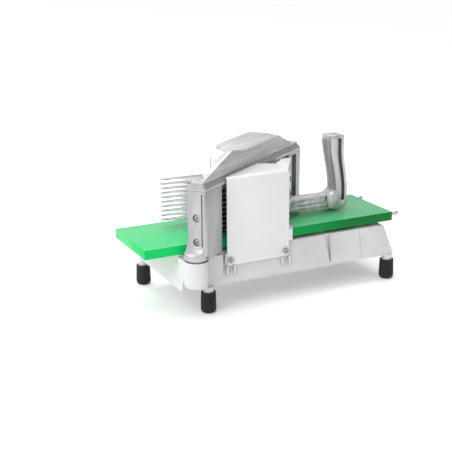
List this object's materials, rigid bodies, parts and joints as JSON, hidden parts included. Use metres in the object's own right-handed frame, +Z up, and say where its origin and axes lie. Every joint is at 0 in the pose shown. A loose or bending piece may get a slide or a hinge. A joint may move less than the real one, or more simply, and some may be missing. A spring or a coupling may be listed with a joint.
{
  "type": "manual tomato slicer",
  "caption": "Hand-pushed slicer: a finger pusher on a sliding plate drives food through a diagonal stack of horizontal blades above a green board, on a cast base with rubber feet.",
  "frame": {"origin": "on the table at the centre of the footprint, under the middle of the machine's box", "axes": "+X from the outfeed end to the handle end, +Y to the rear, +Z up"},
  "size_m": [0.4015, 0.1802, 0.2106],
  "materials": {
    "base_paint": "smooth casting with a pale grey coat",
    "green_board": "moulded board, finely textured",
    "rubber": "matt black",
    "cast_aluminium": "polished casting",
    "hood_aluminium": "satin casting",
    "handle_aluminium": "polished casting",
    "white_guard": "smooth white sheet",
    "white_shoe": "moulded slide block",
    "blade_steel": "ground stainless",
    "finger_steel": "polished stainless",
    "peg_steel": "turned stainless",
    "holder_steel": "dark machined steel",
    "fastener_steel": "bright plated"
  },
  "bodies": {
    "slicer_base": {"base_casting": "base_paint", "cutting_board": "green_board", "board_screws": "fastener_steel", "board_pegs": "peg_steel", "foot_front_left": "rubber", "foot_front_right": "rubber", "foot_rear_left": "rubber", "foot_rear_right": "rubber", "front_post": "cast_aluminium", "rear_post": "cast_aluminium", "front_post_gasket": "rubber", "rear_post_gasket": "rubber", "post_bolts": "fastener_steel", "top_bar": "cast_aluminium", "hood": "hood_aluminium", "top_screws": "peg_steel", "front_blade_holder": "holder_steel", "rear_blade_holder": "holder_steel", "front_tension_screws": "fastener_steel", "rear_tension_screws": "fastener_steel", "blade_pins": "fastener_steel", "blade_01": "blade_steel", "blade_02": "blade_steel", "blade_03": "blade_steel", "blade_04": "blade_steel", "blade_05": "blade_steel", "blade_06": "blade_steel", "blade_07": "blade_steel", "blade_08": "blade_steel", "blade_09": "blade_steel", "blade_10": "blade_steel", "front_guard": "white_guard", "rear_guard": "white_guard", "front_guard_screws": "fastener_steel", "rear_guard_screws": "fastener_steel"},
    "pusher": {"pusher_carriage": "cast_aluminium", "front_slide_shoe": "white_shoe", "rear_slide_shoe": "white_shoe", "slide_shoe_screws": "fastener_steel", "finger_01": "finger_steel", "finger_02": "finger_steel", "finger_03": "finger_steel", "finger_04": "finger_steel", "finger_05": "finger_steel", "finger_06": "finger_steel", "finger_07": "finger_steel", "finger_08": "finger_steel", "finger_09": "finger_steel", "finger_10": "finger_steel", "finger_bolts": "fastener_steel", "push_handle": "handle_aluminium", "handle_bolts": "fastener_steel"}
  },
  "joints": [
    {"name": "pusher_slide", "type": "slide", "parent": "slicer_base", "child": "pusher", "axis": [1, 0, 0], "range_m": [0, 0.183]}
  ]
}
